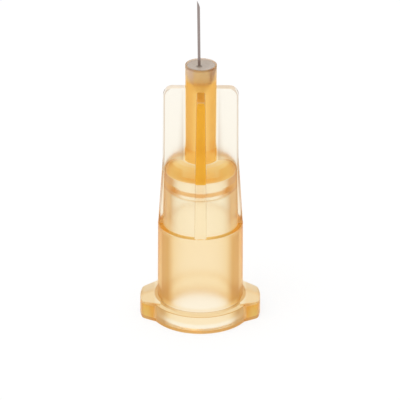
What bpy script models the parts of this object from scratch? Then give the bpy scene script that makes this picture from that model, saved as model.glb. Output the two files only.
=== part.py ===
"""Fine mesotherapy needle: a moulded amber hub, its steel cannula and the adhesive that holds it.

The hub stands on its flange, needle up. The origin is the centre of the flange's foot, +Z runs
along the needle, and the two locking lugs lie along X. Lengths are in metres.
"""

import math

import bmesh
import bpy

MM = 0.001

# Locking flange
FLANGE_RADIUS = 3.28 * MM
FLANGE_HEIGHT = 1.26 * MM
FLANGE_FOOT_ROUND = 0.05 * MM
FLANGE_TOP_ROUND = 0.08 * MM
LUG_TIP_RADIUS = 3.9 * MM
LUG_HALF_WIDTH = 1.27 * MM
LUG_FLARE = math.radians(30)
LUG_TOP_SLOPE = math.radians(9)
LUG_TOP_LEVEL_RADIUS = 3.3 * MM
LUG_CORNER_ROUND = 0.5 * MM
LUG_EDGE_ROUND = 0.05 * MM

# Lower and upper body, up to the shoulder
BODY_FOOT_RADIUS = 2.76 * MM
BODY_FOOT_FILLET = 0.05 * MM
STEP_RADIUS = 2.73 * MM
STEP_HEIGHT = 6.5 * MM
STEP_EDGE_ROUND = 0.06 * MM
STEP_WIDTH = 0.29 * MM
UPPER_BODY_SLOPE = math.radians(1.7)
SHOULDER_HEIGHT = 11.0 * MM
SHOULDER_ROUND = 0.8 * MM

# Nose, which carries the adhesive well
NOSE_RADIUS = 0.98 * MM
NOSE_FILLET = 0.12 * MM
NOSE_RIM_FLARE = 0.02 * MM
NOSE_FLARE_LENGTH = 1.1 * MM
HUB_HEIGHT = 17.5 * MM
RIM_WALL = 0.1 * MM
RIM_EDGE_ROUND = 0.03 * MM

# Socket with its 6 % taper, its shelf and chamber, the bore, and the cannula's pocket below the well
MOUTH_RADIUS = 2.15 * MM
MOUTH_CHAMFER = 0.2 * MM
SOCKET_TAPER = 0.06
TAPER_DEPTH = 8.85 * MM
RELIEF_RADIUS = 1.86 * MM
RELIEF_LEAD = 0.04 * MM
SHELF_HEIGHT = 9.13 * MM
SHELF_RISE = 0.19 * MM
CHAMBER_RADIUS = 1.76 * MM
CEILING_THICKNESS = 0.95 * MM
CEILING_ROUND = 0.15 * MM
BORE_RADIUS = 0.12 * MM
POCKET_RADIUS = 0.21 * MM
POCKET_HEIGHT = 15.0 * MM
POCKET_LEAD = 0.1 * MM
WELL_DEPTH = 1.75 * MM
WELL_WAIST_DEPTH = 1.0 * MM
WELL_WAIST_RADIUS = 0.66 * MM
WELL_FLOOR_RADIUS = 0.3 * MM

# Four fins, which run on down the upper body as ribs
FIN_COUNT = 4
FIN_TOP_HEIGHT = 16.0 * MM
FIN_TOP_RADIUS = 2.38 * MM
FIN_FOOT_RADIUS = 2.41 * MM
FIN_TOP_THICKNESS = 0.55 * MM
RIB_FOOT_THICKNESS = 0.78 * MM
FIN_CORNER_ROUND = 0.6 * MM
FIN_EDGE_ROUND = 0.13 * MM
RIB_SINK = 0.15 * MM
RIB_FLUSH_GAP = 0.005 * MM

# Cannula
CANNULA_RADIUS = 0.09 * MM
CANNULA_WALL = 0.04 * MM
CANNULA_REACH = 21.85 * MM
CANNULA_FOOT_HEIGHT = 15.2 * MM
CANNULA_LEAN = math.radians(0.8)
CANNULA_CROSSING_HEIGHT = 9.2 * MM
BEVEL_LENGTH = 0.45 * MM

# Adhesive
ADHESIVE_CLEARANCE = 0.012 * MM
ADHESIVE_RIM_DROP = 0.05 * MM
ADHESIVE_DISH_DROP = 0.12 * MM
ADHESIVE_DISH_RADIUS = 0.45 * MM
MENISCUS_RISE = 0.14 * MM
MENISCUS_WIDTH = 0.1 * MM

TURN_STEPS = 80
WELL_STEPS = 48
CANNULA_STEPS = 28
ARC_STEPS = 5
EDGE_TURNS = [math.radians(turn) for turn in (0, 45, 90)]


def material(name, colour, roughness, metallic=0.0, transmission=0.0):
    made = bpy.data.materials.new(name)
    made.use_nodes = True
    shader = made.node_tree.nodes["Principled BSDF"]
    shader.inputs["Base Color"].default_value = (*colour, 1.0)
    shader.inputs["Roughness"].default_value = roughness
    shader.inputs["Metallic"].default_value = metallic
    shader.inputs["Transmission Weight"].default_value = transmission
    made.diffuse_color = (*colour, 1.0)
    return made


def add_object(name, bm, finish=None):
    bmesh.ops.recalc_face_normals(bm, faces=bm.faces)
    mesh = bpy.data.meshes.new(name)
    bm.to_mesh(mesh)
    bm.free()
    mesh.shade_smooth()
    mesh.set_sharp_from_angle(angle=math.radians(35))
    made = bpy.data.objects.new(name, mesh)
    bpy.context.scene.collection.objects.link(made)
    if finish:
        mesh.materials.append(finish)
    return made


def as_helper(made):
    made.hide_render = True
    made.display_type = "WIRE"
    return made


def combine(target, other, operation):
    step = target.modifiers.new(f"{operation.lower()} {other.name}", "BOOLEAN")
    step.operation = operation
    step.solver = "EXACT"
    step.object = other


def arc(centre, radius, start, end, steps=ARC_STEPS):
    """Points round a centre from one angle to another, in degrees, both ends included."""
    angles = [math.radians(start + (end - start) * i / steps) for i in range(steps + 1)]
    return [(centre[0] + radius * math.cos(a), centre[1] + radius * math.sin(a)) for a in angles]


def turned(outline, steps=TURN_STEPS):
    """A closed outline of (radius, height) points, turned about the Z axis."""
    bm = bmesh.new()
    points = [bm.verts.new((radius, 0.0, height)) for radius, height in outline]
    edges = [bm.edges.new(pair) for pair in zip(points, points[1:] + points[:1])]
    bmesh.ops.spin(bm, geom=points + edges, axis=(0, 0, 1), angle=math.tau, steps=steps)
    bmesh.ops.remove_doubles(bm, verts=bm.verts, dist=MM * 1e-4)
    return bm


def add_loft(bm, layers):
    """A closed solid through outlines with the same number of points, flat at both ends."""
    rings = [[bm.verts.new(point) for point in layer] for layer in layers]
    bm.faces.new(rings[0])
    bm.faces.new(rings[-1])
    for below, above in zip(rings, rings[1:]):
        for i, point in enumerate(below):
            bm.faces.new((below[i - 1], point, above[i], above[i - 1]))


def rounded_edge(radius):
    """How far an outline is drawn in at each depth below a face whose edge is rounded."""
    return [(radius * (1 - math.sin(a)), radius * (1 - math.cos(a))) for a in EDGE_TURNS]


def socket_radius(height):
    return MOUTH_RADIUS - SOCKET_TAPER / 2 * height


def upper_body_radius(height):
    return STEP_RADIUS - STEP_WIDTH - math.tan(UPPER_BODY_SLOPE) * (height - STEP_HEIGHT)


def well_outline(clearance=0.0):
    """The well's wall from the nose's rim down to its floor."""
    rim = NOSE_RADIUS + NOSE_RIM_FLARE - RIM_WALL
    return [
        (rim - clearance, HUB_HEIGHT),
        (WELL_WAIST_RADIUS - clearance, HUB_HEIGHT - WELL_WAIST_DEPTH),
        (WELL_FLOOR_RADIUS - clearance, HUB_HEIGHT - WELL_DEPTH + clearance),
    ]


def outer_outline():
    """The hub's outside from the foot of the flange up to the rim of the nose."""
    flange_foot = (FLANGE_RADIUS - FLANGE_FOOT_ROUND, FLANGE_FOOT_ROUND)
    flange_top = (FLANGE_RADIUS - FLANGE_TOP_ROUND, FLANGE_HEIGHT - FLANGE_TOP_ROUND)
    body_foot = (BODY_FOOT_RADIUS + BODY_FOOT_FILLET, FLANGE_HEIGHT + BODY_FOOT_FILLET)
    step_edge = (STEP_RADIUS - STEP_EDGE_ROUND, STEP_HEIGHT - STEP_EDGE_ROUND)
    shoulder_start = SHOULDER_HEIGHT - SHOULDER_ROUND
    shoulder = (upper_body_radius(shoulder_start) - SHOULDER_ROUND, shoulder_start)
    nose_foot = (NOSE_RADIUS + NOSE_FILLET, SHOULDER_HEIGHT + NOSE_FILLET)
    rim_radius = NOSE_RADIUS + NOSE_RIM_FLARE
    rim_edge = (rim_radius - RIM_EDGE_ROUND, HUB_HEIGHT - RIM_EDGE_ROUND)
    return [
        *arc(flange_foot, FLANGE_FOOT_ROUND, -90, 0),
        *arc(flange_top, FLANGE_TOP_ROUND, 0, 90, 2),
        *arc(body_foot, BODY_FOOT_FILLET, 270, 180, 3),
        *arc(step_edge, STEP_EDGE_ROUND, 0, 90, 2),
        (STEP_RADIUS - STEP_WIDTH, STEP_HEIGHT),
        *arc(shoulder, SHOULDER_ROUND, 0, 90, 8),
        *arc(nose_foot, NOSE_FILLET, 270, 180, 3),
        (NOSE_RADIUS, HUB_HEIGHT - NOSE_FLARE_LENGTH),
        *arc(rim_edge, RIM_EDGE_ROUND, 0, 90, 2),
    ]


def inner_outline():
    """The hub's inside from the rim of the nose down to the mouth of the socket."""
    ceiling = SHOULDER_HEIGHT - CEILING_THICKNESS
    corner = (CHAMBER_RADIUS - CEILING_ROUND, ceiling - CEILING_ROUND)
    return [
        *well_outline(),
        (POCKET_RADIUS, HUB_HEIGHT - WELL_DEPTH),
        (POCKET_RADIUS, POCKET_HEIGHT),
        (BORE_RADIUS, POCKET_HEIGHT - POCKET_LEAD),
        (BORE_RADIUS, ceiling),
        *arc(corner, CEILING_ROUND, 90, 0, 3),
        (CHAMBER_RADIUS, SHELF_HEIGHT + SHELF_RISE),
        (RELIEF_RADIUS, SHELF_HEIGHT),
        (RELIEF_RADIUS, TAPER_DEPTH + RELIEF_LEAD),
        (socket_radius(TAPER_DEPTH), TAPER_DEPTH),
        (socket_radius(MOUTH_CHAMFER), MOUTH_CHAMFER),
        (MOUTH_RADIUS + MOUTH_CHAMFER, 0.0),
    ]


def fin_outline(inset):
    """One fin and the rib below it, as (radius, height) points, with its free edge drawn in.

    The root lies inside the hub's walls.
    """
    root = (NOSE_RADIUS + WELL_WAIST_RADIUS) / 2
    shoulder_core = SHOULDER_HEIGHT - CEILING_THICKNESS / 2
    rib_root_top = (CHAMBER_RADIUS + upper_body_radius(shoulder_core)) / 2
    rib_root_foot = (socket_radius(STEP_HEIGHT) + STEP_RADIUS - STEP_WIDTH) / 2
    flat_half_width = RIB_FOOT_THICKNESS / 2 - FIN_EDGE_ROUND
    rib_foot = math.sqrt(STEP_RADIUS**2 - flat_half_width**2) - RIB_FLUSH_GAP
    corner = (FIN_TOP_RADIUS - FIN_CORNER_ROUND, FIN_TOP_HEIGHT - FIN_CORNER_ROUND)
    return [
        (root, FIN_TOP_HEIGHT - inset),
        *reversed(arc(corner, FIN_CORNER_ROUND - inset, 0, 90, 7)),
        (FIN_FOOT_RADIUS - inset, SHOULDER_HEIGHT),
        (rib_foot - inset, STEP_HEIGHT - STEP_EDGE_ROUND),
        (rib_foot - RIB_SINK - inset, STEP_HEIGHT - RIB_SINK),
        (rib_root_foot, STEP_HEIGHT - RIB_SINK),
        (rib_root_top, shoulder_core),
        (root, shoulder_core),
    ]


def fin_half_thickness(height):
    share = (FIN_TOP_HEIGHT - height) / (FIN_TOP_HEIGHT - STEP_HEIGHT)
    return (FIN_TOP_THICKNESS + (RIB_FOOT_THICKNESS - FIN_TOP_THICKNESS) * share) / 2


def turned_point(x, y, z, angle):
    return (x * math.cos(angle) - y * math.sin(angle), x * math.sin(angle) + y * math.cos(angle), z)


def fin_layer(inset, depth, side, angle):
    layer = []
    for radius, height in fin_outline(inset):
        across = side * (fin_half_thickness(height) - depth)
        layer.append(turned_point(radius, across, height, angle))
    return layer


def fins():
    bm = bmesh.new()
    edge = rounded_edge(FIN_EDGE_ROUND)
    for i in range(FIN_COUNT):
        angle = math.tau * i / FIN_COUNT
        left = [fin_layer(inset, depth, -1, angle) for inset, depth in edge]
        right = [fin_layer(inset, depth, 1, angle) for inset, depth in reversed(edge)]
        add_loft(bm, left + right)
    return as_helper(add_object("fins", bm))


def lug_plan(inset):
    """One lug seen from above: a tip on its own circle, round corners and flanks that flare to the ring.

    Its root lies inside the body's wall.
    """
    flank_turn = 90 - math.degrees(LUG_FLARE)
    corner_y = LUG_HALF_WIDTH - LUG_CORNER_ROUND
    corner_x = math.sqrt((LUG_TIP_RADIUS - LUG_CORNER_ROUND) ** 2 - corner_y**2)
    tip_turn = math.degrees(math.atan2(corner_y, corner_x))
    tip = arc((0.0, 0.0), LUG_TIP_RADIUS - inset, 0, tip_turn, 2)[:-1]
    corner = arc((corner_x, corner_y), LUG_CORNER_ROUND - inset, tip_turn, flank_turn, 6)
    root_x = (BODY_FOOT_RADIUS + MOUTH_RADIUS + MOUTH_CHAMFER) / 2
    root_y = corner[-1][1] + (corner[-1][0] - root_x) * math.tan(LUG_FLARE)
    half = [*tip, *corner, (root_x, root_y)]
    return [*half, *((x, -y) for x, y in reversed(half[1:]))]


def lug_layer(inset, height, slope, angle):
    """The lug's plan, at the given height at LUG_TOP_LEVEL_RADIUS and falling by the slope outwards."""
    layer = []
    for x, y in lug_plan(inset):
        layer.append(turned_point(x, y, height - slope * (x - LUG_TOP_LEVEL_RADIUS), angle))
    return layer


def lugs():
    bm = bmesh.new()
    edge = rounded_edge(LUG_EDGE_ROUND)
    slope = math.tan(LUG_TOP_SLOPE)
    for angle in (0.0, math.pi):
        foot = [lug_layer(inset, depth, 0.0, angle) for inset, depth in edge]
        top = [lug_layer(inset, FLANGE_HEIGHT - depth, slope, angle) for inset, depth in reversed(edge)]
        add_loft(bm, foot + top)
    return as_helper(add_object("lugs", bm))


def hub(finish):
    made = add_object("hub", turned([*outer_outline(), *inner_outline()]), finish)
    combine(made, fins(), "UNION")
    combine(made, lugs(), "UNION")
    return made


def cannula_x(height):
    """Where the leaning cannula's axis stands at a height."""
    return -math.tan(CANNULA_LEAN) * (height - CANNULA_CROSSING_HEIGHT)


def cannula(finish):
    """A steel tube, ground to a slanting point whose tip is on the -X side."""
    length = (CANNULA_REACH - CANNULA_FOOT_HEIGHT) / math.cos(CANNULA_LEAN)
    inside = CANNULA_RADIUS - CANNULA_WALL
    shaft = length - BEVEL_LENGTH
    outline = [(inside, 0.0), (CANNULA_RADIUS, 0.0), (CANNULA_RADIUS, shaft), (inside, shaft)]
    bm = turned(outline, CANNULA_STEPS)
    for point in bm.verts:
        if point.co.z > length / 2:
            point.co.z += BEVEL_LENGTH * (CANNULA_RADIUS - point.co.x) / (2 * CANNULA_RADIUS)
    made = add_object("cannula", bm, finish)
    made.location = (cannula_x(CANNULA_FOOT_HEIGHT), 0.0, CANNULA_FOOT_HEIGHT)
    made.rotation_euler = (0.0, -CANNULA_LEAN, 0.0)
    return made


def adhesive(finish):
    """The hardened adhesive that fills the well round the cannula, dished, with a collar up the steel."""
    rim, waist, floor = well_outline(ADHESIVE_CLEARANCE)
    edge_radius = rim[0] + (waist[0] - rim[0]) * ADHESIVE_RIM_DROP / WELL_WAIST_DEPTH
    hole = CANNULA_RADIUS + ADHESIVE_CLEARANCE
    dish = HUB_HEIGHT - ADHESIVE_DISH_DROP
    collar = dish + MENISCUS_RISE
    rings = [
        (cannula_x(floor[1]), hole, floor[1]),
        (0.0, *floor),
        (0.0, *waist),
        (0.0, edge_radius, HUB_HEIGHT - ADHESIVE_RIM_DROP),
        (0.0, ADHESIVE_DISH_RADIUS, dish),
        (cannula_x(dish), hole + MENISCUS_WIDTH, dish),
        (cannula_x(collar), hole, collar),
    ]
    bm = bmesh.new()
    made_rings = []
    for centre, radius, height in rings:
        ring = arc((centre, 0.0), radius, 0, 360, WELL_STEPS)[:-1]
        made_rings.append([bm.verts.new((x, y, height)) for x, y in ring])
    for below, above in zip(made_rings, made_rings[1:] + made_rings[:1]):
        for i, point in enumerate(below):
            bm.faces.new((below[i - 1], point, above[i], above[i - 1]))
    return add_object("adhesive", bm, finish)


def main():
    for old in list(bpy.data.objects):
        bpy.data.objects.remove(old)
    hub(material("amber moulding", (0.93, 0.56, 0.16), 0.2, transmission=0.85))
    cannula(material("drawn steel", (0.5, 0.47, 0.45), 0.3, metallic=1.0))
    adhesive(material("cured adhesive", (0.47, 0.39, 0.33), 0.4))


main()
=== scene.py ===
"""The looks of a fine injection needle: an amber hub, its steel cannula and the adhesive in its nose.

The needle stands on its flange on a plain pale floor, seen from 26 degrees above. Lengths are in metres.
"""

import math

import bmesh
import bpy
from mathutils import Matrix, Vector


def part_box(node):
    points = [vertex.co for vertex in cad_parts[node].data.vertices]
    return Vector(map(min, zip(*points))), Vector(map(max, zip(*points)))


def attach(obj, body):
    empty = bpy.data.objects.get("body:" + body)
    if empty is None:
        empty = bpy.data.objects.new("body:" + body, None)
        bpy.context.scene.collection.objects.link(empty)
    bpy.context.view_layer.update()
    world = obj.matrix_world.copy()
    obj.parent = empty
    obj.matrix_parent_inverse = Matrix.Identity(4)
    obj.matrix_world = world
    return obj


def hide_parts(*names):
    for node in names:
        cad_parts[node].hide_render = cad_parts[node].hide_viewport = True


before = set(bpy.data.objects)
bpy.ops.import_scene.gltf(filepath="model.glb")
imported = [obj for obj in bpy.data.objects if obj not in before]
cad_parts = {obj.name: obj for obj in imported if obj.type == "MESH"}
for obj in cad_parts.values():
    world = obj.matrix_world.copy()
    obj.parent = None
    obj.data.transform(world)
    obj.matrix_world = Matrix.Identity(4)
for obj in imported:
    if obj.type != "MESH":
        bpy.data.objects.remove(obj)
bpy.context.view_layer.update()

MM = 0.001
CENTRE = (0.0, 0.0, 0.0)
MERGE_DISTANCE = 0.001 * MM
SMOOTH_ANGLE = math.radians(32)

hub_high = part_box("hub")[1]
cannula_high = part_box("cannula")[1]

# Locking flange
FLANGE_RADIUS = hub_high.y
FLANGE_HEIGHT = 1.26 * MM
FLANGE_FOOT_ROUND = 0.05 * MM
FLANGE_TOP_ROUND = 0.08 * MM
LUG_TIP_RADIUS = hub_high.x
LUG_HALF_WIDTH = 1.27 * MM
LUG_FLARE = math.radians(30)
LUG_TOP_SLOPE = math.radians(9)
LUG_TOP_LEVEL_RADIUS = 3.3 * MM
LUG_CORNER_ROUND = 0.5 * MM
LUG_EDGE_ROUND = 0.05 * MM

# Lower and upper body, up to the shoulder
BODY_FOOT_RADIUS = 2.76 * MM
BODY_FOOT_FILLET = 0.05 * MM
STEP_RADIUS = 2.73 * MM
STEP_HEIGHT = 6.5 * MM
STEP_EDGE_ROUND = 0.06 * MM
STEP_WIDTH = 0.29 * MM
STEP_CORNER_FILLET = 0.05 * MM
UPPER_BODY_SLOPE = math.radians(1.7)
SHOULDER_HEIGHT = 11.0 * MM
SHOULDER_ROUND = 0.8 * MM

# Nose, which carries the adhesive well
NOSE_RADIUS = 0.98 * MM
NOSE_FILLET = 0.12 * MM
NOSE_RIM_FLARE = 0.02 * MM
NOSE_FLARE_LENGTH = 1.1 * MM
HUB_HEIGHT = hub_high.z
RIM_WALL = 0.1 * MM
RIM_EDGE_ROUND = 0.03 * MM

# Socket with its 6 % taper, its shelf and chamber, the bore, and the cannula's pocket below the well
MOUTH_RADIUS = 2.15 * MM
MOUTH_CHAMFER = 0.2 * MM
SOCKET_TAPER = 0.06
TAPER_DEPTH = 8.85 * MM
RELIEF_RADIUS = 1.86 * MM
RELIEF_LEAD = 0.04 * MM
SHELF_HEIGHT = 9.13 * MM
SHELF_RISE = 0.19 * MM
SHELF_ROUND = 0.03 * MM
CHAMBER_RADIUS = 1.76 * MM
CEILING_THICKNESS = 0.95 * MM
CEILING_ROUND = 0.15 * MM
BORE_RADIUS = 0.12 * MM
POCKET_RADIUS = 0.21 * MM
POCKET_HEIGHT = 15.0 * MM
POCKET_LEAD = 0.1 * MM
WELL_DEPTH = 1.75 * MM
WELL_WAIST_DEPTH = 1.0 * MM
WELL_WAIST_RADIUS = 0.66 * MM
WELL_WAIST_ROUND = 0.3 * MM
WELL_FLOOR_RADIUS = 0.3 * MM

# Four fins, which run on down the upper body as ribs
FIN_COUNT = 4
FIN_TOP_HEIGHT = 16.0 * MM
FIN_TOP_RADIUS = 2.38 * MM
FIN_FOOT_RADIUS = 2.41 * MM
FIN_TOP_THICKNESS = 0.55 * MM
RIB_FOOT_THICKNESS = 0.78 * MM
FIN_CORNER_ROUND = 0.6 * MM
FIN_EDGE_ROUND = 0.13 * MM
RIB_SINK = 0.15 * MM
RIB_FLUSH_GAP = 0.005 * MM

# Cannula
CANNULA_RADIUS = 0.09 * MM
CANNULA_WALL = 0.04 * MM
CANNULA_REACH = cannula_high.z
CANNULA_FOOT_HEIGHT = 15.2 * MM
CANNULA_LEAN = math.radians(0.8)
CANNULA_CROSSING_HEIGHT = 9.2 * MM
BEVEL_LENGTH = 0.45 * MM

# Adhesive, which wets the well's wall and the steel
ADHESIVE_BITE = 0.012 * MM
ADHESIVE_RIM_DROP = 0.05 * MM
ADHESIVE_DISH_DROP = 0.13 * MM
ADHESIVE_DISH_RADIUS = 0.45 * MM
ADHESIVE_DISH_ROUND = 0.25 * MM
ADHESIVE_CORE_RADIUS = 0.03 * MM
MENISCUS_RISE = 0.16 * MM
MENISCUS_WIDTH = 0.1 * MM
MENISCUS_ROUND = 0.08 * MM

# Fineness of the meshes
HUB_STEPS = 192
CANNULA_STEPS = 48
ADHESIVE_STEPS = 96
DEGREES_PER_STEP = 10
FIN_EDGE_SEGMENTS = 5
LUG_EDGE_SEGMENTS = 4
LUG_TIP_STEPS = 4
LUG_CORNER_STEPS = 8

# Limits for picking faces and edges by their direction and place
FLAT_FACING = 0.9
PICK_MARGIN = 0.01 * MM


def deselect_all():
    bpy.ops.object.select_all(action="DESELECT")


def start_point(name, point):
    """A new mesh in edit mode that holds one vertex, selected."""
    deselect_all()
    bpy.ops.mesh.primitive_plane_add(size=MM)
    made = bpy.context.object
    made.name = name
    made.data.name = name
    bpy.ops.object.mode_set(mode="EDIT")
    bpy.ops.mesh.select_mode(type="VERT")
    bpy.ops.mesh.merge(type="CENTER")
    bpy.ops.transform.translate(value=point)
    return made


def draw_closed_line(points):
    """Extrudes the selected vertex from point to point and back to the first."""
    for here, there in zip(points, points[1:] + points[:1]):
        bpy.ops.mesh.extrude_vertices_move(TRANSFORM_OT_translate={"value": there - here})
    bpy.ops.mesh.select_all(action="SELECT")
    bpy.ops.mesh.remove_doubles(threshold=MERGE_DISTANCE)


def close_mesh():
    bpy.ops.mesh.select_all(action="SELECT")
    bpy.ops.mesh.remove_doubles(threshold=MERGE_DISTANCE)
    bpy.ops.mesh.normals_make_consistent(inside=False)
    bpy.ops.object.mode_set(mode="OBJECT")


def rounded(corners):
    """Points along a closed outline whose corners, given as (x, y, round), are drawn as arcs."""
    points = []
    for before, corner, after in zip(corners[-1:] + corners[:-1], corners, corners[1:] + corners[:1]):
        here = Vector(corner[:2])
        if not corner[2]:
            points.append(here)
            continue
        to_before = (Vector(before[:2]) - here).normalized()
        to_after = (Vector(after[:2]) - here).normalized()
        half_angle = to_before.angle(to_after) / 2
        centre = here + (to_before + to_after).normalized() * corner[2] / math.sin(half_angle)
        spoke = here + to_before * corner[2] / math.tan(half_angle) - centre
        turn = math.pi - 2 * half_angle
        if to_before.x * to_after.y - to_before.y * to_after.x > 0:
            turn = -turn
        steps = max(2, math.ceil(math.degrees(abs(turn)) / DEGREES_PER_STEP))
        for i in range(steps + 1):
            points.append(centre + Matrix.Rotation(turn * i / steps, 2) @ spoke)
    return points


def lathe(name, outline, steps):
    """A solid turned about the Z axis from a closed outline of (radius, height) points."""
    points = [Vector((radius, 0.0, height)) for radius, height in outline]
    made = start_point(name, points[0])
    draw_closed_line(points)
    bpy.ops.mesh.spin(steps=steps, angle=math.tau, center=CENTRE, axis=(0, 0, 1))
    close_mesh()
    return made


def slab(name, points, rise):
    """A solid between a flat outline and its copy moved by the rise, left in edit mode."""
    made = start_point(name, points[0])
    draw_closed_line(points)
    bpy.ops.mesh.edge_face_add()
    bpy.ops.mesh.extrude_region_move(TRANSFORM_OT_translate={"value": rise})
    bpy.ops.mesh.select_all(action="SELECT")
    bpy.ops.mesh.normals_make_consistent(inside=False)
    return made


def select_where(made, chosen, domain="faces"):
    """Selects, in edit mode, only the faces or edges that the test accepts."""
    bpy.ops.mesh.select_all(action="DESELECT")
    bpy.ops.mesh.select_mode(type="FACE" if domain == "faces" else "EDGE")
    bm = bmesh.from_edit_mesh(made.data)
    for part in getattr(bm, domain):
        if chosen(part):
            part.select_set(True)
    bmesh.update_edit_mesh(made.data)


def rotate_selected(angle, axis, pivot):
    """Turns what is selected by the right-hand rule. The operator's own sign is the other way round."""
    bpy.ops.transform.rotate(value=-angle, orient_axis=axis, center_override=pivot)


def around(made, count):
    """The piece and its copies, spaced evenly about the Z axis, joined into one object."""
    pieces = [made]
    for i in range(1, count):
        deselect_all()
        copy = made.copy()
        copy.data = made.data.copy()
        bpy.context.scene.collection.objects.link(copy)
        copy.select_set(True)
        bpy.context.view_layer.objects.active = copy
        rotate_selected(math.tau * i / count, "Z", CENTRE)
        bpy.ops.object.transform_apply(location=True, rotation=True, scale=True)
        pieces.append(copy)
    deselect_all()
    for piece in pieces:
        piece.select_set(True)
    bpy.context.view_layer.objects.active = made
    bpy.ops.object.join()
    return made


def union(made, other):
    """Merges the other solid into this one."""
    bpy.context.view_layer.objects.active = made
    step = made.modifiers.new("union", "BOOLEAN")
    step.operation = "UNION"
    step.solver = "EXACT"
    step.object = other
    bpy.ops.object.modifier_apply(modifier=step.name)
    bpy.data.objects.remove(other)


def smooth(made):
    deselect_all()
    made.select_set(True)
    bpy.context.view_layer.objects.active = made
    bpy.ops.object.shade_smooth_by_angle(angle=SMOOTH_ANGLE)
    bpy.ops.object.modifier_add(type="WEIGHTED_NORMAL")
    made.modifiers[-1].keep_sharp = True
    bpy.ops.object.modifier_apply(modifier=made.modifiers[-1].name)


def socket_radius(height):
    return MOUTH_RADIUS - SOCKET_TAPER / 2 * height


def upper_body_radius(height):
    return STEP_RADIUS - STEP_WIDTH - math.tan(UPPER_BODY_SLOPE) * (height - STEP_HEIGHT)


def well_corners(bite=0.0):
    """The well's wall as (radius, height, round), from the nose's rim down to its floor."""
    rim = NOSE_RADIUS + NOSE_RIM_FLARE - RIM_WALL
    return [
        (rim + bite, HUB_HEIGHT, 0.0),
        (WELL_WAIST_RADIUS + bite, HUB_HEIGHT - WELL_WAIST_DEPTH, WELL_WAIST_ROUND),
        (WELL_FLOOR_RADIUS + bite, HUB_HEIGHT - WELL_DEPTH - bite, 0.0),
    ]


def body_outline():
    """The hub's section without lugs and fins, up its outside and down its inside."""
    ceiling = SHOULDER_HEIGHT - CEILING_THICKNESS
    corners = [
        (FLANGE_RADIUS, 0.0, FLANGE_FOOT_ROUND),
        (FLANGE_RADIUS, FLANGE_HEIGHT, FLANGE_TOP_ROUND),
        (BODY_FOOT_RADIUS, FLANGE_HEIGHT, BODY_FOOT_FILLET),
        (STEP_RADIUS, STEP_HEIGHT, STEP_EDGE_ROUND),
        (STEP_RADIUS - STEP_WIDTH, STEP_HEIGHT, STEP_CORNER_FILLET),
        (upper_body_radius(SHOULDER_HEIGHT), SHOULDER_HEIGHT, SHOULDER_ROUND),
        (NOSE_RADIUS, SHOULDER_HEIGHT, NOSE_FILLET),
        (NOSE_RADIUS, HUB_HEIGHT - NOSE_FLARE_LENGTH, 0.0),
        (NOSE_RADIUS + NOSE_RIM_FLARE, HUB_HEIGHT, RIM_EDGE_ROUND),
        *well_corners(),
        (POCKET_RADIUS, HUB_HEIGHT - WELL_DEPTH, 0.0),
        (POCKET_RADIUS, POCKET_HEIGHT, 0.0),
        (BORE_RADIUS, POCKET_HEIGHT - POCKET_LEAD, 0.0),
        (BORE_RADIUS, ceiling, 0.0),
        (CHAMBER_RADIUS, ceiling, CEILING_ROUND),
        (CHAMBER_RADIUS, SHELF_HEIGHT + SHELF_RISE, SHELF_ROUND),
        (RELIEF_RADIUS, SHELF_HEIGHT, SHELF_ROUND),
        (RELIEF_RADIUS, TAPER_DEPTH + RELIEF_LEAD, 0.0),
        (socket_radius(TAPER_DEPTH), TAPER_DEPTH, 0.0),
        (socket_radius(MOUTH_CHAMFER), MOUTH_CHAMFER, 0.0),
        (MOUTH_RADIUS + MOUTH_CHAMFER, 0.0, 0.0),
    ]
    return rounded(corners)


def fins():
    """Four fins, each with a round upper corner, round long edges and drafted sides."""
    root = (NOSE_RADIUS + WELL_WAIST_RADIUS) / 2
    shoulder_core = SHOULDER_HEIGHT - CEILING_THICKNESS / 2
    rib_root_top = (CHAMBER_RADIUS + upper_body_radius(shoulder_core)) / 2
    rib_root_foot = (socket_radius(STEP_HEIGHT) + STEP_RADIUS - STEP_WIDTH) / 2
    flat_half_width = RIB_FOOT_THICKNESS / 2 - FIN_EDGE_ROUND
    rib_foot = math.sqrt(STEP_RADIUS**2 - flat_half_width**2) - RIB_FLUSH_GAP
    corners = [
        (root, FIN_TOP_HEIGHT, 0.0),
        (FIN_TOP_RADIUS, FIN_TOP_HEIGHT, FIN_CORNER_ROUND),
        (FIN_FOOT_RADIUS, SHOULDER_HEIGHT, 0.0),
        (rib_foot, STEP_HEIGHT - STEP_EDGE_ROUND, 0.0),
        (rib_foot - RIB_SINK, STEP_HEIGHT - RIB_SINK, 0.0),
        (rib_root_foot, STEP_HEIGHT - RIB_SINK, 0.0),
        (rib_root_top, shoulder_core, 0.0),
        (root, shoulder_core, 0.0),
    ]
    half = FIN_TOP_THICKNESS / 2
    points = [Vector((x, -half, z)) for x, z in rounded(corners)]
    made = slab("fins", points, Vector((0, 2 * half, 0)))
    draft = math.atan((RIB_FOOT_THICKNESS / 2 - half) / (FIN_TOP_HEIGHT - STEP_HEIGHT))
    for side in (-1, 1):
        select_where(made, lambda face: face.normal.y * side > FLAT_FACING)
        pivot = (0, side * half, FIN_TOP_HEIGHT)
        rotate_selected(side * draft, "X", pivot)
    select_where(made, is_free_edge, "edges")
    bpy.ops.mesh.bevel(
        offset=FIN_EDGE_ROUND, segments=FIN_EDGE_SEGMENTS, affect="EDGES", clamp_overlap=True
    )
    close_mesh()
    return around(made, FIN_COUNT)


def is_free_edge(edge):
    """Whether an edge borders one of the two sides of a fin and lies outside the hub's walls."""
    sides = [face for face in edge.link_faces if abs(face.normal.y) > FLAT_FACING]
    if len(sides) != 1:
        return False
    start, end = (vertex.co for vertex in edge.verts)
    on_top = min(start.z, end.z) > FIN_TOP_HEIGHT - PICK_MARGIN
    on_rim = min(start.x, end.x) > FIN_TOP_RADIUS - FIN_CORNER_ROUND - PICK_MARGIN
    return on_top or (on_rim and max(start.z, end.z) > STEP_HEIGHT)


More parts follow.
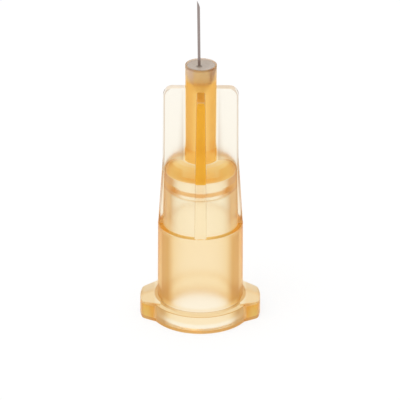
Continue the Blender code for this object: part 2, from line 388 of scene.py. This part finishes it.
def lugs():
    """Two lugs whose tips lie on one circle, with round corners, flared flanks and falling tops."""
    corner_y = LUG_HALF_WIDTH - LUG_CORNER_ROUND
    corner_x = math.sqrt((LUG_TIP_RADIUS - LUG_CORNER_ROUND) ** 2 - corner_y**2)
    tip_turn = math.atan2(corner_y, corner_x)
    flank_turn = math.radians(90) - LUG_FLARE
    half = []
    for i in range(LUG_TIP_STEPS):
        turn = tip_turn * i / LUG_TIP_STEPS
        half.append((LUG_TIP_RADIUS * math.cos(turn), LUG_TIP_RADIUS * math.sin(turn)))
    for i in range(LUG_CORNER_STEPS + 1):
        turn = tip_turn + (flank_turn - tip_turn) * i / LUG_CORNER_STEPS
        x = corner_x + LUG_CORNER_ROUND * math.cos(turn)
        y = corner_y + LUG_CORNER_ROUND * math.sin(turn)
        half.append((x, y))
    root_x = (BODY_FOOT_RADIUS + MOUTH_RADIUS + MOUTH_CHAMFER) / 2
    half.append((root_x, half[-1][1] + (half[-1][0] - root_x) * math.tan(LUG_FLARE)))
    plan = half + [(x, -y) for x, y in reversed(half[1:])]
    made = slab("lugs", [Vector((x, y, 0)) for x, y in plan], Vector((0, 0, FLANGE_HEIGHT)))
    select_where(made, lambda face: face.normal.z > FLAT_FACING)
    pivot = (LUG_TOP_LEVEL_RADIUS, 0, FLANGE_HEIGHT)
    rotate_selected(LUG_TOP_SLOPE, "Y", pivot)
    select_where(made, lambda edge: is_lug_rim(edge, root_x), "edges")
    bpy.ops.mesh.bevel(
        offset=LUG_EDGE_ROUND, segments=LUG_EDGE_SEGMENTS, affect="EDGES", clamp_overlap=True
    )
    close_mesh()
    return around(made, 2)


def is_lug_rim(edge, root_x):
    """Whether an edge borders a lug's top or foot, away from its root."""
    flats = [face for face in edge.link_faces if abs(face.normal.z) > FLAT_FACING]
    return len(flats) == 1 and max(vertex.co.x for vertex in edge.verts) > root_x + PICK_MARGIN


def make_hub():
    made = lathe("hub_moulding", body_outline(), HUB_STEPS)
    union(made, fins())
    union(made, lugs())
    smooth(made)
    return made


def cannula_x(height):
    """Where the leaning cannula's axis stands at a height."""
    return -math.tan(CANNULA_LEAN) * (height - CANNULA_CROSSING_HEIGHT)


def make_cannula():
    """A drawn tube, ground to a slanting point whose tip is on the -X side."""
    length = (CANNULA_REACH - CANNULA_FOOT_HEIGHT) / math.cos(CANNULA_LEAN)
    inside = CANNULA_RADIUS - CANNULA_WALL
    shaft = length - BEVEL_LENGTH
    outline = [(inside, 0.0), (CANNULA_RADIUS, 0.0), (CANNULA_RADIUS, shaft), (inside, shaft)]
    made = lathe("cannula_tube", outline, CANNULA_STEPS)
    for vertex in made.data.vertices:
        if vertex.co.z > length / 2:
            vertex.co.z += BEVEL_LENGTH * (CANNULA_RADIUS - vertex.co.x) / (2 * CANNULA_RADIUS)
    made.location = (cannula_x(CANNULA_FOOT_HEIGHT), 0, CANNULA_FOOT_HEIGHT)
    made.rotation_euler = (0, -CANNULA_LEAN, 0)
    smooth(made)
    bpy.ops.object.transform_apply(location=True, rotation=True, scale=True)
    return made


def make_adhesive():
    """The hardened drop: it fills the well, is dished on top and creeps up the steel as a collar."""
    rim, waist, floor = well_corners(ADHESIVE_BITE)
    edge_radius = rim[0] + (waist[0] - rim[0]) * ADHESIVE_RIM_DROP / WELL_WAIST_DEPTH
    dish = HUB_HEIGHT - ADHESIVE_DISH_DROP
    outline = rounded(
        [
            (ADHESIVE_CORE_RADIUS, floor[1], 0.0),
            floor,
            waist,
            (edge_radius, HUB_HEIGHT - ADHESIVE_RIM_DROP, 0.0),
            (ADHESIVE_DISH_RADIUS, dish, ADHESIVE_DISH_ROUND),
            (CANNULA_RADIUS + MENISCUS_WIDTH / 2, dish, MENISCUS_ROUND),
            (ADHESIVE_CORE_RADIUS, dish + MENISCUS_RISE, 0.0),
        ]
    )
    made = lathe("adhesive_drop", outline, ADHESIVE_STEPS)
    for vertex in made.data.vertices:
        near_steel = 1 - min(1, math.hypot(vertex.co.x, vertex.co.y) / ADHESIVE_DISH_RADIUS)
        vertex.co.x += cannula_x(vertex.co.z) * near_steel
    smooth(made)
    return made


class Wire:
    """A node's output: sums, products and the like of it add Math nodes to its tree."""

    def __init__(self, tree, socket=None):
        self.tree = tree
        self.socket = socket

    def node(self, kind, settings=None, sockets=None, out=0):
        """Adds a node, makes its settings, fills its sockets with values or links, gives an output."""
        made = self.tree.nodes.new(kind)
        for name, value in (settings or {}).items():
            setattr(made, name, value)
        for name, value in (sockets or {}).items():
            if isinstance(value, Wire):
                self.tree.links.new(value.socket, made.inputs[name])
            else:
                made.inputs[name].default_value = value
        return Wire(self.tree, made.outputs[out])

    def math(self, operation, first, second=0.0):
        return self.node("ShaderNodeMath", {"operation": operation}, {0: first, 1: second})

    def __add__(self, other):
        return self.math("ADD", self, other)

    def __radd__(self, other):
        return self.math("ADD", other, self)

    def __sub__(self, other):
        return self.math("SUBTRACT", self, other)

    def __rsub__(self, other):
        return self.math("SUBTRACT", other, self)

    def __mul__(self, other):
        return self.math("MULTIPLY", self, other)

    def __rmul__(self, other):
        return self.math("MULTIPLY", other, self)

    def __truediv__(self, other):
        return self.math("DIVIDE", self, other)

    def __pow__(self, other):
        return self.math("POWER", self, other)

    def absolute(self):
        return self.math("ABSOLUTE", self)

    def at_most(self, other):
        return self.math("MINIMUM", self, other)

    def at_least(self, other):
        return self.math("MAXIMUM", self, other)

    def clamped(self, low, high):
        """0 below the low value, 1 above the high one, and smooth in between."""
        sockets = {"Value": self, "From Min": low, "From Max": high}
        return self.node("ShaderNodeMapRange", {"interpolation_type": "SMOOTHSTEP"}, sockets)

    def mixed(self, first, second):
        """The first colour where this is 0, the second where it is 1."""
        return self.node("ShaderNodeMix", {"data_type": "RGBA"}, {0: self, 6: first, 7: second}, out=2)


def colour(red, green, blue):
    """A colour given as it looks on a screen, 0 to 255, as a shader's linear value."""
    levels = []
    for level in (red, green, blue):
        share = level / 255
        levels.append(share / 12.92 if share <= 0.04045 else ((share + 0.055) / 1.055) ** 2.4)
    return (*levels, 1.0)


# How far a volume's density lies above its strongest absorption, so that no colour's share is 0
DENSITY_HEADROOM = 1.1


class Finish:
    """A material with its tree, its shader, the object's own coordinates and the faces' directions."""

    def __init__(self, name):
        self.material = bpy.data.materials.new(name)
        self.material.use_nodes = True
        self.tree = self.material.node_tree
        self.shader = self.tree.nodes["Principled BSDF"]
        self.output = self.tree.nodes["Material Output"]
        self.place = Wire(self.tree).node("ShaderNodeTexCoord", out="Object")
        split = self.place.node("ShaderNodeSeparateXYZ", sockets={0: self.place}).socket.node
        self.x, self.y, self.z = (Wire(self.tree, split.outputs[i]) for i in range(3))
        self.radius = (self.x * self.x + self.y * self.y) ** 0.5
        self.off_middle = self.x.absolute()
        self.off_axis = self.off_middle.at_most(self.y.absolute())
        turned = Wire(self.tree, self.place.socket.node.outputs["Normal"])
        split = turned.node("ShaderNodeSeparateXYZ", sockets={0: turned}).socket.node
        normal_x, normal_y, self.facing_up = (Wire(self.tree, split.outputs[i]) for i in range(3))
        self.facing_out = (self.x * normal_x + self.y * normal_y) / self.radius
        self.slant = self.x.node("ShaderNodeLayerWeight", sockets={"Blend": 0.5}, out=1)

    def noise(self, size, detail=2.0, stretch=(1.0, 1.0, 1.0)):
        """A noise with features of the given size, from 0 to 1."""
        scale = [1.0 / (size * s) for s in stretch]
        place = self.place.node("ShaderNodeMapping", sockets={"Vector": self.place, "Scale": scale})
        sockets = {"Vector": place, "Scale": 1.0, "Detail": detail}
        return place.node("ShaderNodeTexNoise", sockets=sockets)

    def set(self, **values):
        """Fills the shader's sockets, named with underscores, with values or wires."""
        for name, value in values.items():
            socket = self.shader.inputs[name.replace("_", " ")]
            if isinstance(value, Wire):
                self.tree.links.new(value.socket, socket)
            else:
                socket.default_value = value

    def absorb(self, per_mm):
        """Gives the inside a plain absorption, as an amount per millimetre for each colour."""
        density = max(per_mm) * DENSITY_HEADROOM
        shares = [1 - amount / density for amount in per_mm]
        sockets = {"Color": (*shares, 1.0), "Density": density / MM}
        volume = Wire(self.tree).node("ShaderNodeVolumeAbsorption", sockets=sockets)
        self.tree.links.new(volume.socket, self.output.inputs["Volume"])


# Amber plastic
AMBER_ABSORPTION = (0.002, 0.075, 0.26)
AMBER_CLEARNESS = 1.0
AMBER_IOR = 1.25
AMBER_ROUGHNESS = 0.3
FIN_ROUGHNESS = 0.2
FLOW_ROUGHNESS = 0.05
FLOW_SIZE = 1.6 * MM
FIN_TONE = (255, 255, 255)

# Levels and radii on the hub in mm. The solid level lies just above the chamber's ceiling
FLANGE_LEVEL = FLANGE_HEIGHT / MM
STEP_LEVEL = STEP_HEIGHT / MM
SOCKET_END_LEVEL = TAPER_DEPTH / MM
SHELF_LEVEL = SHELF_HEIGHT / MM
SHELF_TOP_LEVEL = (SHELF_HEIGHT + SHELF_RISE) / MM
SOLID_LEVEL = (SHOULDER_HEIGHT - CEILING_THICKNESS) / MM + 0.15
SHOULDER_LEVEL = SHOULDER_HEIGHT / MM
FIN_LEVEL = FIN_TOP_HEIGHT / MM
RIM_LEVEL = HUB_HEIGHT / MM
FLANGE_REACH = FLANGE_RADIUS / MM
BODY_REACH = BODY_FOOT_RADIUS / MM
STEP_REACH = STEP_RADIUS / MM
NOSE_REACH = NOSE_RADIUS / MM
SOCKET_REACH = 1.9
LOWER_WALL_REACH = 2.6
UPPER_WALL_REACH = 2.2
RIB_REACH = 1.9

# Where the amber is painted deeper, later ones over earlier ones: some zones follow the depth of
# plastic, and many are painted shade at the sides, along edges and rings and where parts meet. Each
# gives the name, the tone and the faces or directions kept to, then the radii and the heights from,
# to and blurred by, in mm
AMBER_ZONES = (
    ("body", (255, 249, 238), None,
     None, (None, SOLID_LEVEL, 0.8)),
    ("upper body", (255, 253, 246), None,
     None, (STEP_LEVEL + 0.1, SHELF_LEVEL - 0.03, 0.1)),
    ("mouth", (255, 254, 250), None,
     None, (None, 0.6, 1.0)),
    ("flange's inside", (251, 232, 200), "wall",
     (None, 2.2, 0.1), (0.15, FLANGE_LEVEL - 0.02, 0.04)),
    # Painted shade line where the socket ends
    ("painted shade line at the socket's end", (215, 170, 110), None,
     (None, SOCKET_REACH, 0.05), (SOCKET_END_LEVEL, SOCKET_END_LEVEL + 0.04, 0.02)),
    # Painted shade: the lower wall and the flange darker toward their sides, and the wall toward its foot
    ("lower wall's painted shade, a little slanted", (255, 228, 178), "slanted wall",
     (LOWER_WALL_REACH, None, 0.1), (FLANGE_LEVEL + 0.14, STEP_LEVEL - 0.1, 0.1)),
    ("lower wall's painted side shade", (216, 162, 92), "side wall",
     (LOWER_WALL_REACH, None, 0.1), (FLANGE_LEVEL + 0.54, STEP_LEVEL - 0.1, 0.4)),
    ("lower wall's painted shade at the foot", (200, 138, 66), "far side wall",
     (LOWER_WALL_REACH, BODY_REACH + 0.09, 0.05), (FLANGE_LEVEL + 0.01, FLANGE_LEVEL + 0.74, 0.5)),
    ("flange's painted side shade", (214, 184, 146), "flange's front side wall",
     (FLANGE_REACH - 0.06, FLANGE_REACH + 0.04, 0.03), (0.05, FLANGE_LEVEL - 0.06, 0.05)),
    # Painted shade: the upper wall, the chamber and the shelf darker toward their sides
    ("upper wall's painted side shade", (234, 192, 134), "upper side wall",
     (UPPER_WALL_REACH, None, 0.1), (STEP_LEVEL, SOLID_LEVEL - 0.1, 0.4)),
    ("chamber's painted side shade", (212, 156, 100), "steep front wall",
     (UPPER_WALL_REACH, None, 0.1), (SHELF_LEVEL + 0.07, SOLID_LEVEL, 0.1)),
    ("shelf's painted side shade", (224, 164, 86), "shelf's side wall",
     (UPPER_WALL_REACH, None, 0.1), (SHELF_TOP_LEVEL + 0.02, SHELF_TOP_LEVEL + 0.4, 0.04)),
    # Painted shade lines: where the body meets the flange, and along the flange's top edge
    ("painted shade line at the body's foot", (200, 165, 120), None,
     (BODY_REACH - 0.06, BODY_REACH + 0.19, 0.02), (FLANGE_LEVEL + 0.002, FLANGE_LEVEL + 0.04, 0.01)),
    ("painted shade line along the flange's edge", (205, 165, 112), None,
     (FLANGE_REACH - 0.08, FLANGE_REACH + 0.02, 0.01), (FLANGE_LEVEL - 0.07, FLANGE_LEVEL - 0.015, 0.01)),
    ("ribs' sides", (248, 228, 204), "fin's side",
     (2.3, None, 0.05), (STEP_LEVEL, SOLID_LEVEL, 0.1)),
    # Painted shade outlines along the ribs' and fins' rounded edges
    ("ribs' painted shade outline", (186, 148, 114), "rib's rounding",
     (RIB_REACH, None, 0.2), (STEP_LEVEL + 0.1, SOLID_LEVEL, 0.1)),
    ("fins' painted shade outline", (205, 186, 172), "fin's rounding",
     (1.2, None, 0.1), (SOLID_LEVEL + 0.1, None, 0.1)),
    ("nose", (250, 208, 124), None,
     (0.6, NOSE_REACH + 0.02, 0.03), (SHOULDER_LEVEL, FIN_LEVEL + 0.4, 0.3)),
    ("nose's foot", (246, 188, 86), None,
     (NOSE_REACH - 0.08, NOSE_REACH + 0.06, 0.04), (SHOULDER_LEVEL, SHOULDER_LEVEL + 0.8, 0.2)),
    ("shoulder", (250, 222, 154), "shoulder's front",
     (1.3, None, 0.2), (SOLID_LEVEL + 0.1, SHOULDER_LEVEL, 0.04)),
    ("ceiling", (246, 200, 110), "shoulder's front",
     (RIB_REACH, None, 0.1), (SOLID_LEVEL + 0.1, SOLID_LEVEL + 0.35, 0.04)),
    # Painted shade on the shoulder's sides
    ("shoulder's painted side shade", (240, 190, 96), "shoulder's side",
     (1.8, None, 0.1), (SOLID_LEVEL + 0.2, SHOULDER_LEVEL - 0.14, 0.1)),
    # Painted shade ring at the shelf
    ("shelf", (228, 160, 90), None,
     (None, SOCKET_REACH, 0.05), (SHELF_LEVEL - 0.01, SHELF_TOP_LEVEL + 0.02, 0.02)),
    # Painted shade below the shelf, at the sides
    ("painted shade below the shelf, at the sides", (226, 162, 90), "front, sides",
     (None, SOCKET_REACH, 0.05), (SHELF_LEVEL - 0.21, SHELF_LEVEL + 0.01, 0.03)),
    # Painted shade line on the step
    ("step", (230, 178, 84), None,
     (STEP_REACH - 0.33, STEP_REACH - 0.03, 0.03), (STEP_LEVEL, STEP_LEVEL + 0.04, 0.02)),
    ("fins' edges", (244, 184, 40), "front fin's edge",
     (RIB_REACH, None, 0.2), (SOLID_LEVEL + 0.08, None, 0.06)),
    ("fins' tops", (244, 226, 208), "level",
     (1.1, None, 0.08), (FIN_LEVEL - 0.1, None, 0.1)),
    # Painted shade: the right fin's top darker than the left one's
    ("right fin's painted shade on top", (226, 200, 172), "level, right",
     (1.0, 2.1, 0.1), (FIN_LEVEL - 0.1, None, 0.1)),
    ("fins' tops before the nose", (224, 158, 60), "level, front and back",
     (1.0, None, 0.05), (FIN_LEVEL - 0.1, FIN_LEVEL + 0.1, 0.1)),
    # Painted shade line where the fins meet the shoulder, at the front
    ("painted shade line at the fins' feet", (222, 182, 134), "fin's front at the shoulder",
     (1.1, None, 0.1), (SOLID_LEVEL + 0.1, None, 0.05)),
    # Painted shade along the side fins' rims, where they are seen at a grazing slant
    ("side fins' painted shade rims", (140, 120, 108), "grazed",
     (RIB_REACH, None, 0.1), (SOLID_LEVEL + 0.1, None, 0.1)),
    ("rim", (222, 206, 192), None,
     (0.8, None, 0.05), (RIM_LEVEL - 0.1, None, 0.05)),
    ("flange's top", (246, 222, 184), "level",
     (BODY_REACH + 0.04, None, 0.1), (FLANGE_LEVEL - 0.26, FLANGE_LEVEL + 0.04, 0.05)),
    # Painted shade on the flange's top beside the body, at the sides
    ("painted shade on the flange beside the body", (206, 150, 80), "level, sides",
     (LOWER_WALL_REACH, BODY_REACH + 0.16, 0.1), (FLANGE_LEVEL - 0.06, FLANGE_LEVEL + 0.14, 0.03)),
    ("lugs' fronts", (254, 224, 118), "upright",
     (FLANGE_REACH + 0.12, None, 0.1), (None, FLANGE_LEVEL - 0.26, 0.15)),
    # Painted shade, greyish, on the lugs' backs
    ("painted shade on the lugs' backs", (205, 190, 176), "upright, back",
     (FLANGE_REACH + 0.06, None, 0.02), (0.3, None, 0.15)),
    # Painted shade band along the flange's foot
    ("foot", (224, 172, 104), None,
     (FLANGE_REACH - 0.08, None, 0.05), (0.05, 0.22, 0.04)),
)

# Walls in the zones, by how slanted they are seen, which sets their painted side shade: where their mask
# starts and where it is full
WALL_SLANTS = {
    "slanted wall": (0.14, 0.42),
    "side wall": (0.26, 0.42),
    "far side wall": (0.45, 0.65),
    "flange's front side wall": (0.25, 0.42),
    "upper side wall": (0.22, 0.5),
    "steep front wall": (0.3, 0.45),
    "shelf's side wall": (0.2, 0.35),
}
SIDE_WALL_LIMB = (0.56, 0.66)
GRAZED_SLANT = (0.6, 0.85)
TURNED_AWAY_SLANT = (0.33, 0.42)
SHOULDER_LIMB = (0.45, 0.7)
EDGE_SLANT = (0.3, 0.6)

# How far faces point outwards or upwards: a mask's start and full value, or its span and blur
WALL_FACING = (0.9, 0.95)
LEVEL_FACING = (0.4, 0.8)
FIN_SIDE_FACING = (0.15, 0.3)
FIN_EDGE_FACING = (0.65, 0.75)
ROUNDING_FACING = (0.3, 0.65, 0.1)
WIDE_ROUNDING_FACING = (0.25, 0.75, 0.1)

# Places across and along the hub in mm, in the same two ways, and the blur at the solid level
FIN_HALF_WIDTH = (0.34, 0.4)
BACK_Y = (-0.1, 0.1)
SHOULDER_BACK_Y = (0.4, 0.9)
MIDDLE_X = (0.4, 0.45)
FRONT_FIN_X = (0.5, 0.8)
SHELF_SIDES_X = (0.9, 1.5)
SHOULDER_SIDES_X = (1.3, 1.9, 0.3)
FLANGE_SIDES_X = (1.4, 2.4)
RIGHT_FIN_X = (0.9, 1.1)
FIN_FOOT_BAND = (-0.02, 0.07, 0.05)
SOLID_BLEND = 0.2


def within(value, span):
    """1 from the span's first value to its second, falling to 0 over the third beyond each."""
    low, high, blur = span
    inside = 1
    if low is not None:
        inside = value.clamped(low - blur, low) * inside
    if high is not None:
        inside = (1 - value.clamped(high, high + blur)) * inside
    return inside


def past_shoulder(radius, height):
    """How far in mm a place lies outside the shoulder's rounding."""
    beyond = (radius - (upper_body_radius(SHOULDER_HEIGHT) - SHOULDER_ROUND) / MM).at_least(0.0)
    above = height - (SHOULDER_HEIGHT - SHOULDER_ROUND) / MM
    return (beyond * beyond + above * above) ** 0.5 - SHOULDER_ROUND / MM


def amber_faces(finish, radius, height):
    """Masks for the faces and directions that the amber's zones keep to."""
    facing_out = finish.facing_out
    slant = finish.slant
    side = finish.off_middle / MM
    beside_fins = (finish.off_axis / MM).clamped(*FIN_HALF_WIDTH)
    on_fins = 1 - beside_fins
    back = (finish.y / MM).clamped(*BACK_Y)
    front = 1 - back
    wall = facing_out.clamped(*WALL_FACING)
    level = finish.facing_up.clamped(*LEVEL_FACING)
    upright = 1 - level
    fin_side = (1 - facing_out.clamped(*FIN_SIDE_FACING)) * on_fins * upright
    turned_away = slant.clamped(*TURNED_AWAY_SLANT)
    rounding = within(facing_out, ROUNDING_FACING) * on_fins
    square = facing_out.clamped(*FIN_EDGE_FACING) * (1 - slant.clamped(*EDGE_SLANT))
    turned_rounding = within(facing_out, WIDE_ROUNDING_FACING) * turned_away
    fin_edge = square + turned_rounding - square * turned_rounding
    shoulder = beside_fins * (1 - slant.clamped(*SHOULDER_LIMB))
    faces = {name: slant.clamped(*span) * wall for name, span in WALL_SLANTS.items()}
    faces["side wall"] *= 1 - slant.clamped(*SIDE_WALL_LIMB)
    faces["flange's front side wall"] *= front
    faces["steep front wall"] *= front
    faces.update(
        {
            "wall": wall,
            "shoulder's front": shoulder * (1 - (finish.y / MM).clamped(*SHOULDER_BACK_Y)),
            "shoulder's side": shoulder * front * within(side, SHOULDER_SIDES_X),
            "rib's rounding": rounding,
            "fin's rounding": rounding * (1 - turned_away),
            "front fin's edge": fin_edge * on_fins * (1 - side.clamped(*FRONT_FIN_X)),
            "fin's side": fin_side,
            "fin's front at the shoulder": within(past_shoulder(radius, height), FIN_FOOT_BAND)
            * fin_side
            * front,
            "grazed": slant.clamped(*GRAZED_SLANT) * upright,
            "upright": upright,
            "upright, back": upright * back,
            "front, sides": front * side.clamped(*SHELF_SIDES_X),
            "level": level,
            "level, sides": level * side.clamped(*FLANGE_SIDES_X),
            "level, right": level * (finish.x / MM).clamped(*RIGHT_FIN_X),
            "level, front and back": level * (1 - side.clamped(*MIDDLE_X)),
        }
    )
    return faces


def amber_plastic():
    """Clear amber, painted deeper where the light takes a long way through the plastic, and with painted
    shade at its sides, along its edges and rings and where its parts meet.
    """
    finish = Finish("amber_plastic")
    radius = finish.radius / MM
    height = finish.z / MM
    faces = amber_faces(finish, radius, height)
    tone = colour(*FIN_TONE)
    for name, deeper, kept_to, radii, heights in AMBER_ZONES:
        inside = within(height, heights)
        if radii:
            inside = within(radius, radii) * inside
        if kept_to:
            inside = faces[kept_to] * inside
        tone = inside.mixed(tone, colour(*deeper))
    solid = height.clamped(SOLID_LEVEL, SOLID_LEVEL + SOLID_BLEND)
    rough = finish.noise(FLOW_SIZE) * FLOW_ROUGHNESS + solid * FIN_ROUGHNESS + AMBER_ROUGHNESS
    finish.set(Base_Color=tone, Roughness=rough, Transmission_Weight=AMBER_CLEARNESS, IOR=AMBER_IOR)
    finish.absorb(AMBER_ABSORPTION)
    return finish.material


# Drawn steel
DRAW_LINE_WIDTH = 0.02 * MM
DRAW_LINE_DETAIL = 3.0
DRAW_LINE_STRETCH = (1.0, 1.0, 40.0)
STEEL_DARK = (140, 126, 122)
STEEL_LIGHT = (172, 160, 156)
STEEL_ROUGHNESS = 0.2
DRAW_LINE_ROUGHNESS = 0.12


def drawn_steel():
    finish = Finish("drawn_steel")
    lines = finish.noise(DRAW_LINE_WIDTH, DRAW_LINE_DETAIL, DRAW_LINE_STRETCH)
    tone = lines.mixed(colour(*STEEL_DARK), colour(*STEEL_LIGHT))
    rough = lines * DRAW_LINE_ROUGHNESS + STEEL_ROUGHNESS
    finish.set(Base_Color=tone, Metallic=1.0, Roughness=rough)
    return finish.material


# Cured adhesive: tones of the well's wall, seen through the nose, and of the dished top, with painted
# shade around the steel's foot
WELL_MAUVE = (216, 188, 166)
WELL_AMBER = (226, 190, 132)
WELL_PALE = (252, 244, 226)
WELL_BROWN = (196, 150, 105)
DISH_DARK = (164, 149, 135)
DISH_LIGHT = (194, 180, 166)
STEEL_FOOT_SHADE = (120, 104, 90)
CLOUD_SIZE = 0.5 * MM
CLOUD_DETAIL = 3.0
ADHESIVE_ROUGHNESS = 0.35

# Where each of those starts and is full, in mm, and how far the top's faces point upwards
WELL_AMBER_X = (-0.6, -0.35)
WELL_BROWN_X = (0.35, 0.65)
WELL_BROWN_Z = (16.1, 16.4)
WELL_PALE_Z = (16.0, 16.5)
STEEL_FOOT_SHADE_RADII = (0.1, 0.28)
DISH_FACING = (0.3, 0.6)


def cured_adhesive():
    finish = Finish("cured_adhesive")
    x = finish.x / MM
    height = finish.z / MM
    wall = x.clamped(*WELL_AMBER_X).mixed(colour(*WELL_MAUVE), colour(*WELL_AMBER))
    wall = height.clamped(*WELL_PALE_Z).mixed(colour(*WELL_PALE), wall)
    brown = x.clamped(*WELL_BROWN_X) * height.clamped(*WELL_BROWN_Z)
    wall = brown.mixed(wall, colour(*WELL_BROWN))
    cloud = finish.noise(CLOUD_SIZE, CLOUD_DETAIL)
    dish = cloud.mixed(colour(*DISH_DARK), colour(*DISH_LIGHT))
    from_steel = finish.x - cannula_x(HUB_HEIGHT)
    from_steel = (from_steel * from_steel + finish.y * finish.y) ** 0.5 / MM
    # Painted shade: the top darker close around the steel
    dish = from_steel.clamped(*STEEL_FOOT_SHADE_RADII).mixed(colour(*STEEL_FOOT_SHADE), dish)
    tone = finish.facing_up.clamped(*DISH_FACING).mixed(wall, dish)
    finish.set(Base_Color=tone, Roughness=ADHESIVE_ROUGHNESS)
    return finish.material


def finish_piece(piece, node, material):
    piece.data.materials.clear()
    piece.data.materials.append(material)
    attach(piece, "root")
    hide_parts(node)


finish_piece(make_hub(), "hub", amber_plastic())
finish_piece(make_cannula(), "cannula", drawn_steel())
finish_piece(make_adhesive(), "adhesive", cured_adhesive())

# Floor, room and lamp
FLOOR_SIZE = 1.2
FLOOR_GAP = 0.01 * MM
FLOOR_GLOW = 0.8
DIFFUSE_LEVEL = 0.88
LAMP_SIZE = 0.25
LAMP_POWER = 0.35
LAMP_PLACE = Vector((-0.12, -0.1, 0.32))
LAMP_AIM = Vector((0, 0, 0.01))


def seen_directly(start):
    """1 for what the camera sees straight, in a reflection or through clear plastic."""
    rays = start.node("ShaderNodeLightPath").socket.node.outputs
    direct = Wire(start.tree, rays["Is Camera Ray"]) + Wire(start.tree, rays["Is Glossy Ray"])
    return (direct + Wire(start.tree, rays["Is Transmission Ray"])).clamped(0, 1)


def make_floor():
    deselect_all()
    bpy.ops.mesh.primitive_plane_add(size=FLOOR_SIZE, location=(0, 0, -FLOOR_GAP))
    floor = bpy.context.object
    floor.name = "floor"
    finish = Finish("pale_floor")
    finish.material.cycles.emission_sampling = "NONE"
    finish.set(Base_Color=(1.0, 1.0, 1.0, 1.0), Roughness=1.0)
    start = finish.place
    white = start.node("ShaderNodeEmission", sockets={"Color": (1, 1, 1, 1), "Strength": 1.0})
    shaded = Wire(finish.tree, finish.shader.outputs[0])
    rays = start.node("ShaderNodeLightPath").socket.node.outputs
    camera = Wire(start.tree, rays["Is Camera Ray"])
    share = camera * FLOOR_GLOW + (seen_directly(start) - camera)
    mixed = start.node("ShaderNodeMixShader", sockets={0: share, 1: shaded, 2: white})
    finish.tree.links.new(mixed.socket, finish.output.inputs["Surface"])
    floor.data.materials.append(finish.material)


def make_room():
    """White all round, a little dimmer for the light that it sheds than for what is seen of it."""
    world = bpy.data.worlds.new("room")
    bpy.context.scene.world = world
    world.use_nodes = True
    world.cycles.sampling_method = "NONE"
    background = world.node_tree.nodes["Background"]
    start = Wire(world.node_tree)
    seen = seen_directly(start)
    strength = seen + (1 - seen) * DIFFUSE_LEVEL
    world.node_tree.links.new(strength.socket, background.inputs["Strength"])
    background.inputs["Color"].default_value = (1, 1, 1, 1)


def make_lamp():
    data = bpy.data.lights.new("softbox", "AREA")
    data.shape = "DISK"
    data.size = LAMP_SIZE
    data.energy = LAMP_POWER
    lamp = bpy.data.objects.new("softbox", data)
    bpy.context.scene.collection.objects.link(lamp)
    lamp.location = LAMP_PLACE
    lamp.rotation_euler = (LAMP_AIM - LAMP_PLACE).to_track_quat("-Z", "Y").to_euler()


# Camera, fitted to the photograph
CAMERA_ELEVATION = math.radians(26.297)
CAMERA_ROLL = math.radians(0.1977)
CAMERA_DISTANCE = 215.8 * MM
CAMERA_TARGET = Vector((-0.0362 * MM, 0.0, 8.0 * MM))
SENSOR_WIDTH = 36.0
PIXELS_PER_MM = 15.607
IMAGE_WIDTH = 400
PLASTIC_BOUNCES = 32
GLOSSY_BOUNCES = 24


def make_camera():
    data = bpy.data.cameras.new("camera")
    data.sensor_width = SENSOR_WIDTH
    data.lens = SENSOR_WIDTH * PIXELS_PER_MM * CAMERA_DISTANCE / MM / IMAGE_WIDTH
    data.clip_start = 1 * MM
    camera = bpy.data.objects.new("camera", data)
    bpy.context.scene.collection.objects.link(camera)
    forward = Vector((0, math.cos(CAMERA_ELEVATION), -math.sin(CAMERA_ELEVATION)))
    place = Matrix.Translation(CAMERA_TARGET - forward * CAMERA_DISTANCE)
    tilt = Matrix.Rotation(math.pi / 2 - CAMERA_ELEVATION, 4, "X")
    camera.matrix_world = place @ tilt @ Matrix.Rotation(CAMERA_ROLL, 4, "Z")
    bpy.context.scene.camera = camera


make_floor()
make_room()
make_lamp()
make_camera()
bpy.context.scene.view_settings.view_transform = "Standard"
bpy.context.scene.cycles.max_bounces = PLASTIC_BOUNCES
bpy.context.scene.cycles.transmission_bounces = PLASTIC_BOUNCES
bpy.context.scene.cycles.glossy_bounces = GLOSSY_BOUNCES
